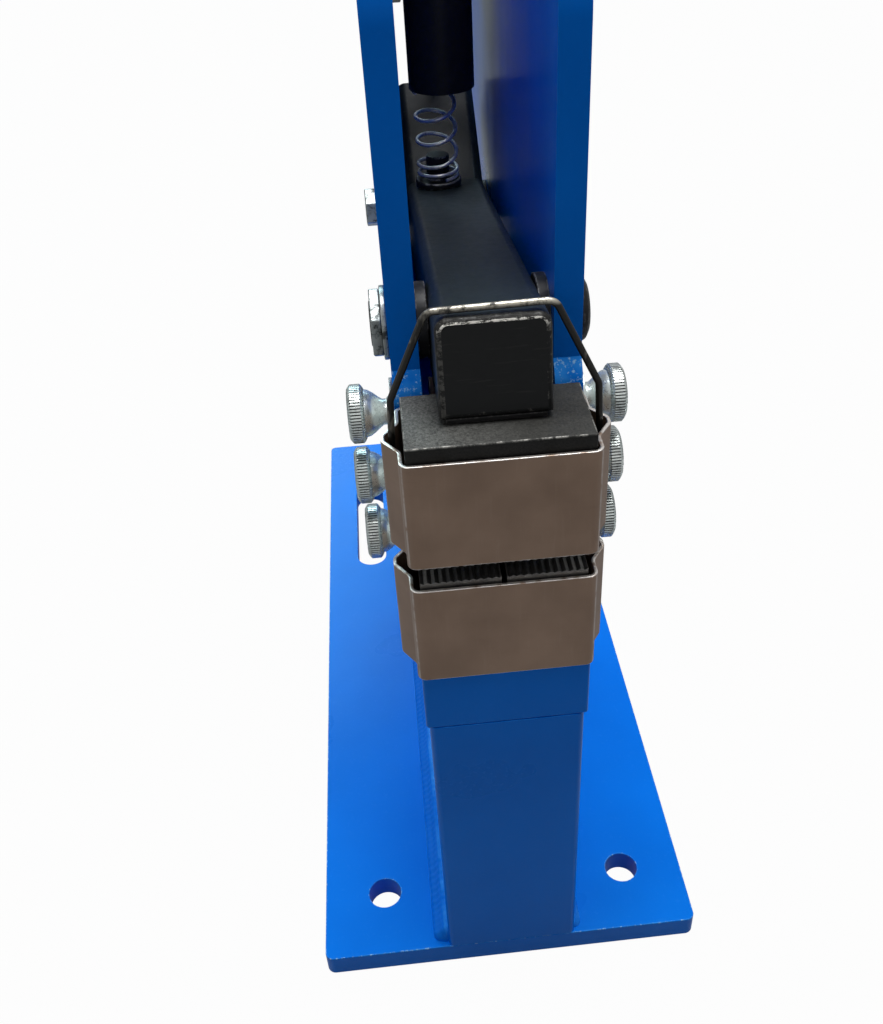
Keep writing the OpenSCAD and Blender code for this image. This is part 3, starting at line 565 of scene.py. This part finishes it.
def disc_with_ridges(bm, stem):
    """The knurled disc, whose inner face stands `stem` off the plate."""
    groove = bm.faces.layers.float.new("groove")
    made = bmesh.ops.create_circle(bm, cap_ends=True, cap_tris=False, segments=RIDGES * COLUMNS, radius=RIM_R)
    sheet = list({f for v in made["verts"] for f in v.link_faces})
    for v in made["verts"]:
        v.co.z = stem
    rings = [made["verts"]]
    for rise in (CHAMFER, RIM_T - 2 * CHAMFER, CHAMFER):
        raised = bmesh.ops.extrude_face_region(bm, geom=sheet)["geom"]
        sheet = [g for g in raised if isinstance(g, bmesh.types.BMFace)]
        rings.append([g for g in raised if isinstance(g, bmesh.types.BMVert)])
        bmesh.ops.translate(bm, verts=rings[-1], vec=(0, 0, rise))
    for ring, short in zip(rings, (CHAMFER, 0.0, 0.0, CHAMFER)):
        for v in ring:
            column = round(atan2(v.co.y, v.co.x) / (2 * pi) * RIDGES * COLUMNS) % COLUMNS
            v.co.xy *= (RIM_R - short - (GROOVE if column == COLUMNS - 1 else 0.0)) / RIM_R
    # Faces of the drawn-in columns get the `groove` value, which the zinc paints dark as a painted shade.
    for f in bm.faces:
        level = f.calc_center_median().z - stem
        on_side = CHAMFER < level < RIM_T - CHAMFER
        if on_side and min(v.co.xy.length for v in f.verts) < RIM_R - GROOVE / 2:
            f[groove] = 0.8
    for f in list(bm.faces):
        if len(f.verts) == RIDGES * COLUMNS:
            bmesh.ops.inset_region(bm, faces=[f], thickness=0.8, depth=0.0)
    for v in bm.verts:
        if v.co.xy.length < FACE_R:
            v.co.z += 0.5 if v.co.z > stem + RIM_T / 2 else -0.5


def turned(bm, profile, steps=48):
    """Spins a profile of (radius, height) points about Z."""
    verts = [bm.verts.new((r, 0, z)) for r, z in profile]
    edges = [bm.edges.new(pair) for pair in zip(verts, verts[1:])]
    bmesh.ops.spin(bm, geom=verts + edges, cent=(0, 0, 0), axis=(0, 0, 1), angle=2 * pi, steps=steps,
                   use_merge=True)


def thumb_screw(tip, stem):
    """One screw along Z, with its tip below the plate and its disc above."""
    bm = bmesh.new()
    disc_with_ridges(bm, stem)
    cap = stem + RIM_T
    turned(bm, [(0, 1.0), (4.1, 1.0), (4.1, 1.7), (3.5, 2.1), (3.5, stem - 5.3), (4.2, stem - 4.3),
                (5.3, stem - 3.0), (6.2, stem - 1.6), (6.5, stem - 0.4), (0, stem - 0.2)])
    turned(bm, [(0, cap - 0.2), (5.5, cap - 0.2), (5.2, cap + 0.4), (4.6, cap + 0.55), (4.0, cap + 0.35),
                (0, cap + 0.25)])
    turned(bm, [(0, -tip), (2.1, -tip), (2.5, -tip + 0.4), (2.5, 1.5), (0, 1.5)], 24)
    bmesh.ops.remove_doubles(bm, verts=bm.verts, dist=0.001)
    return bm


def place_screw(target, side, height, tip, stem):
    bm = thumb_screw(tip, stem)
    bmesh.ops.rotate(bm, verts=bm.verts, cent=(0, 0, 0), matrix=Matrix.Rotation(side * pi / 2, 3, "Y"))
    bmesh.ops.translate(bm, verts=bm.verts, vec=(side * PLATE_X, SCREW_Y, height))
    bmesh.ops.scale(bm, verts=bm.verts, vec=(MM, MM, MM))
    bmesh.ops.recalc_face_normals(bm, faces=bm.faces)
    part = bpy.data.meshes.new("screw")
    bm.to_mesh(part)
    target.from_mesh(part)
    bm.free()


for side, node in ((-1, "thumb_screws_left"), (1, "thumb_screws_right")):
    group = bmesh.new()
    group.faces.layers.float.new("groove")
    for index, (tip, stem) in enumerate(((TIP, STEM), (TIP, STEM), (LOW_TIP, STEM - LOW_SET))):
        place_screw(group, side, SCREW_Z - index * SCREW_STEP, tip, stem)
    screws = new_piece(node + "_piece", group, "frame", zinc, [node], 35)
    print(screws.name, len(screws.data.polygons), "faces")

# %% [markdown]
# ## Jaw casings
# Each casing is one strip of sheet folded into a box, with a bulge on either side that holds the wire.
# A box with no lid or floor gets a few cuts where the bulges lie, the cut lines are pushed out, the four
# upright corners are bevelled round, and the sheet is given its thickness inwards. The cut rim is brighter
# than the faces, so its faces are marked as edge. A narrow stripe in the middle of each rounded front
# corner is marked more faintly: a painted highlight.

# %% Casings
CASE_X, CASE_Y0, CASE_Y1, SHEET = 25.0, -0.8, 27.2, 1.0
CASE_CUTS, BULGE, SHOULDER = (6.0, 10.4, 11.6, 14.4, 15.6, 19.5), 3.9, 3.1


def upright(e):
    """True for an edge that runs up the casing."""
    return abs(e.verts[0].co.z - e.verts[1].co.z) > 1


def casing_box(low, high):
    """The outer skin of a casing between two heights."""
    bm = bmesh.new()
    bmesh.ops.create_cube(bm, size=1.0)
    bmesh.ops.scale(bm, verts=bm.verts, vec=(2 * CASE_X, CASE_Y1 - CASE_Y0, high - low))
    bmesh.ops.translate(bm, verts=bm.verts, vec=(0, (CASE_Y0 + CASE_Y1) / 2, (low + high) / 2))
    lids = [f for f in bm.faces if abs(f.normal.z) > 0.9]
    bmesh.ops.delete(bm, geom=lids, context="FACES_ONLY")
    for y in CASE_CUTS:
        bmesh.ops.bisect_plane(bm, geom=bm.verts[:] + bm.edges[:] + bm.faces[:], plane_co=(0, y, 0),
                               plane_no=(0, 1, 0), dist=1e-5)
    for v in bm.verts:
        if abs(abs(v.co.x) - CASE_X) < 1e-3 and 10.0 < v.co.y < 16.0:
            out = BULGE if 11.0 < v.co.y < 15.0 else SHOULDER
            v.co.x += out if v.co.x > 0 else -out
    corners = [e for e in bm.edges if upright(e)
               and (e.verts[0].co.y < CASE_Y0 + 0.01 or e.verts[0].co.y > CASE_Y1 - 0.01)]
    bmesh.ops.bevel(bm, geom=corners, offset=2.5, offset_type="OFFSET", affect="EDGES", segments=6,
                    profile=0.5, material=-1, clamp_overlap=True)
    folds = [e for e in bm.edges if upright(e) and 5.0 < e.verts[0].co.y < 20.5
             and e.calc_face_angle(0) > radians(8)]
    bmesh.ops.bevel(bm, geom=folds, offset=0.7, offset_type="OFFSET", affect="EDGES", segments=3,
                    profile=0.5, material=-1, clamp_overlap=True)
    bmesh.ops.recalc_face_normals(bm, faces=bm.faces)
    return bm


def thicken(bm):
    """Gives the skin its sheet thickness inwards, marks the rim, and marks a painted highlight on the front
    corners.
    """
    outer = bm.faces[:]
    centre = Vector((0, (CASE_Y0 + CASE_Y1) / 2, 0))
    facing = sum(f.normal.dot(f.calc_center_median() - centre) for f in outer if abs(f.normal.z) < 0.5)
    if facing < 0:
        bmesh.ops.reverse_faces(bm, faces=outer)
    bmesh.ops.solidify(bm, geom=outer, thickness=SHEET)
    layer = bm.faces.layers.float.new("edge")
    for f in bm.faces:
        if abs(f.normal.z) > 0.9:
            f[layer] = 1.0
        # A stripe on each rounded front corner gets a faint edge value: a painted highlight.
        elif f.calc_center_median().y < CASE_Y0 + 2.5 and 0.7 < abs(f.normal.x) < 0.85:
            f[layer] = 0.4


def casing_piece(node):
    low, high = [round(corner.z / MM, 2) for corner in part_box(node)]
    bm = casing_box(low, high)
    thicken(bm)
    reach = max(abs(v.co.x) for v in bm.verts)
    rims = [e for e in bm.edges if len(e.link_faces) == 2 and abs(e.verts[0].co.z - e.verts[1].co.z) < 0.01
            and e.calc_face_angle(0) > radians(50)]
    done = bmesh.ops.bevel(bm, geom=rims, offset=0.22, offset_type="OFFSET", affect="EDGES", segments=2,
                           profile=0.5, material=-1, clamp_overlap=True)
    mark_edges(bm, done["faces"])
    bmesh.ops.scale(bm, verts=bm.verts, vec=(MM, MM, MM))
    piece = new_piece(node + "_piece", bm, bodies[node], casing, [node], 35)
    print(piece.name, len(piece.data.polygons), "faces, reach", round(reach, 2), "mm")


for node in ("upper_jaw_casing", "lower_jaw_casing"):
    casing_piece(node)

# %% [markdown]
# ## Inside the casings
# Blocks, toothed halves and brackets keep the shape of their solids. The blocks are ground flat and only
# their edges are broken. The teeth stay crisp, because they bite into the sheet.

# %% Blocks, brackets and teeth
softened("upper_pressure_block", 0.45, phosphate)
softened("lower_pressure_block", 0.45, phosphate)
softened("upper_jaw_bracket", 0.15, casing)
softened("lower_jaw_bracket", 0.15, casing)
for node in ("upper_jaw_left", "upper_jaw_right", "lower_jaw_left", "lower_jaw_right"):
    softened(node, 0.1, tooth_metal, 1)

# %% [markdown]
# ## Wire bail and return spring
# Both are round wire that follows a path. A curve with a round bevel is the natural tool: the path is
# computed, the curve gives it a section, and the result is turned into a mesh, so that it can ride a body
# like any other piece.

# %% Wire helper
def wire_mesh(name, path, radius, rounding):
    """Round wire along a path in millimetres; `rounding` sets how many sides its section has."""
    curve = bpy.data.curves.new(name, "CURVE")
    curve.dimensions = "3D"
    curve.bevel_depth = radius * MM
    curve.bevel_resolution = rounding
    curve.use_fill_caps = True
    line = curve.splines.new("POLY")
    line.points.add(len(path) - 1)
    for point, place in zip(line.points, path):
        point.co = (*(Vector(place) * MM), 1)
    holder = bpy.data.objects.new(name, curve)
    bpy.context.scene.collection.objects.link(holder)
    bpy.context.view_layer.update()
    mesh = bpy.data.meshes.new_from_object(holder.evaluated_get(bpy.context.evaluated_depsgraph_get()))
    bpy.data.objects.remove(holder)
    bm = bmesh.new()
    bm.from_mesh(mesh)
    bmesh.ops.remove_doubles(bm, verts=bm.verts, dist=1e-6)
    bmesh.ops.recalc_face_normals(bm, faces=bm.faces)
    return bm


def rounded(points, radius, steps=7):
    """Replaces each inner corner of a path by an arc-like bend."""
    path = [Vector(points[0])]
    for before, corner, after in zip(points, points[1:], points[2:]):
        before, corner, after = Vector(before), Vector(corner), Vector(after)
        u, v = (before - corner).normalized(), (after - corner).normalized()
        cut = radius / tan(u.angle(v) / 2)
        for k in range(steps + 1):
            t = k / steps
            path.append(corner + (1 - t) ** 2 * cut * u + t * t * cut * v)
    path.append(Vector(points[-1]))
    return path


print("wire helpers ready")

# %% Bail
BAIL = [(-26.85, 13, 206.8), (-25.55, 13, 233.5), (-15.7, 15.1, 255.0), (14.8, 15.1, 255.6),
        (25.55, 13, 233.5), (26.85, 13, 206.8)]
BAIL_WIRE, BAIL_BEND = 0.9, 3.5
bail = new_piece("bail_wire_piece", wire_mesh("bail", rounded(BAIL, BAIL_BEND), BAIL_WIRE, 5), "upper_jaw",
                 wire_metal, ["bail_wire"], 60)
print(bail.name, len(bail.data.polygons), "faces")

# %% Return spring
SPRING_R, SPRING_X, SPRING_LOW, SPRING_HIGH, SPRING_WIRE = 6.7, -2.7, 235.48, 265.78, 0.65
CURLS, SHUT, SHUT_PITCH, FIRST_TURN, COIL_LEAN = 4.75, 1.5, 2.0, radians(290), 1.7
HAND_Y = 158


def spring_path(steps=28):
    """Close curls at the lower end, open ones above that lean a little towards the front."""
    room = SPRING_HIGH - SPRING_LOW - 2 * SPRING_WIRE
    open_pitch = (room - SHUT * SHUT_PITCH) / (CURLS - SHUT)
    path = []
    for k in range(int(CURLS * steps) + 1):
        curl = k / steps
        rise = min(curl, SHUT) * SHUT_PITCH + max(0.0, curl - SHUT) * open_pitch
        a = FIRST_TURN + 2 * pi * curl
        lean = COIL_LEAN * sin(a) * min(1.0, max(0.0, curl - 1.0), (CURLS - curl) / 0.5)
        path.append((SPRING_X + SPRING_R * cos(a), HAND_Y + SPRING_R * sin(a),
                     SPRING_LOW + SPRING_WIRE + rise + lean))
    return path


spring = new_piece("return_spring_piece", wire_mesh("spring", spring_path(), SPRING_WIRE, 3), "rocker",
                   spring_metal, ["return_spring"], 60)
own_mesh(spring)
print(spring.name, len(spring.data.polygons), "faces")

# %% [markdown]
# ## Rocker and lever
# The rocker is a square hot-rolled bar, so its long edges are well rounded, and the sawn end at the nose
# has a worn bevel all round. The outline of the solid is drawn again as one face, which is then extruded
# across: that gives clean edges to bevel, without the hidden bore. `TILT` is the slope of its front part
# and `LEAN` that of its rear arm. The foot under its nose, the lift plate and the crank get small bevels.
# The hand lever is a plain round bar with a rubber grip.

# %% Outline of the rocker
TILT, LEAN, HALF = radians(8.5), radians(37.9), 14.0
PIVOT_Y, PIVOT_Z, NOSE_AT, KINK_AT, ARM_LONG, ARM_THICK = 44, 238.5, -33, 122.7, 41.8, 20.0
TOP, UNDER, RELIEF, RELIEF_BACK = 10.65, -14.85, 227.3, 31.2


def along_bar(along, above):
    """Turns lengths along and above the sloping bar into the machine's Y and Z."""
    return Vector((PIVOT_Y + along * cos(TILT) + above * sin(TILT),
                   PIVOT_Z - along * sin(TILT) + above * cos(TILT)))


def rocker_outline():
    """The rocker seen from the side, from the nose's foot over the top to the relief underneath."""
    lean = Vector((cos(LEAN), sin(LEAN)))
    square = Vector((sin(LEAN), -cos(LEAN)))
    kink = along_bar(KINK_AT, TOP)
    tip = kink + ARM_LONG * lean
    heel = tip + ARM_THICK * square
    start = along_bar(0, UNDER)
    run = ((heel - start).x * sin(TILT) + (heel - start).y * cos(TILT)) / sin(LEAN + TILT)
    nose = along_bar(NOSE_AT, UNDER)
    step = Vector((RELIEF_BACK, nose.y - (RELIEF_BACK - nose.x) * tan(TILT)))
    level = Vector((nose.x + (nose.y - RELIEF) / tan(TILT), RELIEF))
    return [nose, along_bar(NOSE_AT, TOP), kink, tip, heel, heel - run * lean, step,
            Vector((RELIEF_BACK, RELIEF)), level]


print("rocker outline:", [tuple(round(c, 1) for c in point) for point in rocker_outline()])

# %% Rocker pieces
def long_edge(e):
    """True for a side edge of the bar above the relief."""
    on_side = abs(e.verts[0].co.x - e.verts[1].co.x) < 1e-6
    return on_side and e.calc_length() > 30 * MM and min(v.co.z for v in e.verts) > 229 * MM


def nose_edge(e):
    """True for an edge of the sawn front face."""
    if any(v.co.y > 13.1 * MM for v in e.verts):
        return False
    return any(f.normal.y < -0.95 and f.calc_area() > 200 * MM * MM for f in e.link_faces)


def rocker_mesh():
    bm = bmesh.new()
    edge_layer(bm)
    side = bm.faces.new([bm.verts.new((-HALF, *point)) for point in rocker_outline()])
    across = bmesh.ops.extrude_face_region(bm, geom=[side])["geom"]
    far = [g for g in across if isinstance(g, bmesh.types.BMVert)]
    bmesh.ops.translate(bm, verts=far, vec=(2 * HALF, 0, 0))
    bmesh.ops.recalc_face_normals(bm, faces=bm.faces)
    bmesh.ops.scale(bm, verts=bm.verts, vec=(MM, MM, MM))
    lengthwise = bevel_sharp(bm, 3.4, 6, 60, long_edge, 0.25)
    nose = bevel_sharp(bm, 1.6, 4, 50, nose_edge, 0.6)
    rest = bevel_sharp(bm, 0.8, 2, 40, lambda e: e.calc_length() > 2 * MM, 0.25)
    marks = edge_layer(bm)
    for face in bm.faces:
        if 0.5 < face[marks] < 0.7 and -0.999 < face.normal.y < -0.80:
            face[marks] = 1.0
    print("rocker:", lengthwise, "lengthwise,", nose, "nose and", rest, "other edges rounded")
    return bm


new_piece("rocker_arm_piece", rocker_mesh(), "rocker", worn_rocker, ["rocker_arm"], 32)


# The lip is a black box under the nose front, partly the foot's front and partly a painted shadow there.
LIP, LIP_Y, LIP_Z = Vector((25.0, 1.9, 1.4)), 10.6, 227.98


def foot_mesh():
    """The foot, with a black lip under the front of the nose: partly the foot's front, partly a painted
    shadow in the gap there.
    """
    bm = merged_copy("pressure_foot")
    lip = bmesh.ops.create_cube(bm, size=1.0)["verts"]
    bmesh.ops.scale(bm, verts=lip, vec=LIP * MM)
    bmesh.ops.translate(bm, verts=lip, vec=(0, LIP_Y * MM, LIP_Z * MM))
    bevel_sharp(bm, 0.3, 2)
    return bm


new_piece("pressure_foot_piece", foot_mesh(), "rocker", black_lever, ["pressure_foot"])
softened("lift_plate", 0.5, black_bar)
softened("spring_seat", 0.5, black_nut)
softened("handle_bar", 0.6, black_lever)
softened("crank_cheeks", 0.5, black_lever)
softened("crank_pin", 0.5, spring_metal)

# %% Grip
GRIP_LOW, GRIP_HIGH, GRIP_R, BAR_R, RING_DEEP, RING_STEP = 555.98, 689.98, 15.0, 11.02, 0.75, 6.4


def grip_mesh():
    """The grip spun from a profile: a rounded foot, a row of grooves and a domed end."""
    low, high, r, ring = GRIP_LOW, GRIP_HIGH, GRIP_R, GRIP_R - RING_DEEP
    profile = [(BAR_R, low), (r - 1.6, low), (r - 0.4, low + 0.8), (r, low + 2.2), (r, low + 8)]
    z = low + 10
    while z < high - 26:
        profile += [(r, z), (ring, z + 0.7), (ring, z + 2.3), (r, z + 3.0)]
        z += RING_STEP
    profile += [(r, high - 6), (r - 0.5, high - 3.4), (r - 2, high - 1.4), (r - 4.5, high - 0.3), (0, high)]
    bm = bmesh.new()
    turned(bm, profile, 64)
    bmesh.ops.remove_doubles(bm, verts=bm.verts, dist=0.001)
    bmesh.ops.translate(bm, verts=bm.verts, vec=(0, HAND_Y, 0))
    bmesh.ops.scale(bm, verts=bm.verts, vec=(MM, MM, MM))
    bmesh.ops.recalc_face_normals(bm, faces=bm.faces)
    return bm


grip = new_piece("handle_grip_piece", grip_mesh(), "handle", rubber, ["handle_grip"], 35)
print(grip.name, len(grip.data.polygons), "faces")

# %% [markdown]
# ## What is left of the solids
# Every solid now has a dressed piece that stands for it. A solid that was left over would still get the
# phosphate skin, so none can show its plain grey.

# %% Carried-over nodes
for name, node in frame["nodes"].items():
    node.data.materials.clear()
    node.data.materials.append(phosphate)
print("carried over:", [n for n, o in frame["nodes"].items() if not o.hide_render])

# %% [markdown]
# ## Floor and light
# The machine stands on white in the photograph. The floor is a plain grey that gives little light back, but
# to the camera it is mixed with plain white, and mirror rays see it a little lighter. The world does the
# same. The light is broad: large lamps above and behind give the bright tops, the one behind slightly cool,
# and weak ones on the left and in front fill the shaded faces.

# %% Floor
def floor_finish():
    f = Finish("floor_white", Roughness=0.8)
    seen = f.add("LightPath", out="Is Camera Ray")
    mirrored = f.add("LightPath", out="Is Glossy Ray")
    dust = f.noise(3.0, 2.0)
    f.set(Base_Color=f.mix(dust * 0.2, (0.235, 0.235, 0.245), (0.27, 0.27, 0.27)))
    glow = f.add("Emission", Color=(1, 1, 1, 1), Strength=1.0)
    both = f.add("MixShader", Fac=seen * 0.975 + mirrored * 0.13, i1=Value(f, f.shader.outputs[0]), i2=glow)
    f.tree.links.new(both.socket, f.tree.nodes["Material Output"].inputs["Surface"])
    return f.material


ground = bmesh.new()
bmesh.ops.create_grid(ground, x_segments=2, y_segments=2, size=6.0)
bmesh.ops.translate(ground, verts=ground.verts, vec=(0, 0, -0.0005))
floor_mesh = bpy.data.meshes.new("floor")
ground.to_mesh(floor_mesh)
ground.free()
floor = bpy.data.objects.new("floor", floor_mesh)
floor_mesh.materials.append(floor_finish())
bpy.context.scene.collection.objects.link(floor)
print("floor ready")


# %% Lamps and world
def lamp(name, place, aim, size, power, shade=(1, 1, 1)):
    data = bpy.data.lights.new(name, "AREA")
    data.shape = "RECTANGLE"
    data.size, data.size_y = size
    data.energy = power
    data.color = shade
    thing = bpy.data.objects.new(name, data)
    direction = Vector(aim) - Vector(place)
    thing.rotation_euler = direction.to_track_quat("-Z", "Y").to_euler()
    thing.location = place
    bpy.context.scene.collection.objects.link(thing)


lamp("top_lamp", (0.15, 0.2, 1.9), (0, 0.1, 0.15), (1.2, 0.9), 32.0)
lamp("back_lamp", (-0.65, 2.1, 1.6), (0, 0.1, 0.1), (1.2, 1.0), 24.0, (0.62, 0.92, 1.0))
lamp("left_lamp", (-1.5, -0.4, 0.8), (0, 0.1, 0.2), (0.9, 0.9), 2.2)
lamp("front_lamp", (0.3, -1.4, 0.7), (0, 0.1, 0.15), (1.2, 0.8), 0.5)

world = bpy.data.worlds.new("world")
bpy.context.scene.world = world
world.use_nodes = True
sky = world.node_tree.nodes["Background"]
paths = world.node_tree.nodes.new("ShaderNodeLightPath")
shine = world.node_tree.nodes.new("ShaderNodeMath")
shine.operation = "MULTIPLY_ADD"
shine.inputs[1].default_value = 0.36
shine.inputs[2].default_value = 0.14
level = world.node_tree.nodes.new("ShaderNodeMath")
level.operation = "MAXIMUM"
world.node_tree.links.new(paths.outputs["Is Glossy Ray"], shine.inputs[0])
world.node_tree.links.new(paths.outputs["Is Camera Ray"], level.inputs[0])
world.node_tree.links.new(shine.outputs[0], level.inputs[1])
world.node_tree.links.new(level.outputs[0], sky.inputs["Strength"])
sky.inputs["Color"].default_value = (1, 1, 1, 1)
bpy.context.scene.view_settings.view_transform = "Standard"
print("light ready")
